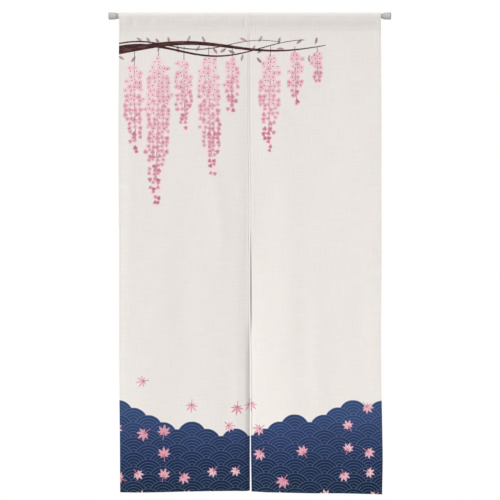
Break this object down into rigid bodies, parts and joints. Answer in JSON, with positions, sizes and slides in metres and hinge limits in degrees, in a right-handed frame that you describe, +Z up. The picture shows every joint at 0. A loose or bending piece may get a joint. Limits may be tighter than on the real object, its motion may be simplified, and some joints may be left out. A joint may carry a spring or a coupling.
{
  "type": "noren curtain on a tension rod",
  "caption": "Split cloth door curtain with a sewn rod pocket, hung on a sprung telescoping rod with soft end caps; parts at the slit to walk through.",
  "frame": {"origin": "middle of the rod's axis, halfway between the two end faces", "axes": "+X along the rod to the viewer's right, +Y to the back of the curtain, +Z up"},
  "size_m": [0.883, 0.0414, 1.5056],
  "materials": {
    "cloth": "plain-woven polyester with linen slubs, printed",
    "rod": "satin light grey enamel on thin steel tube",
    "cap": "moulded soft plastic, matt"
  },
  "bodies": {
    "root": {"left_panel": "cloth", "right_panel": "cloth", "rod_outer_tube": "rod", "rod_inner_tube": "rod", "left_cap": "cap", "right_cap": "cap"}
  },
  "joints": []
}
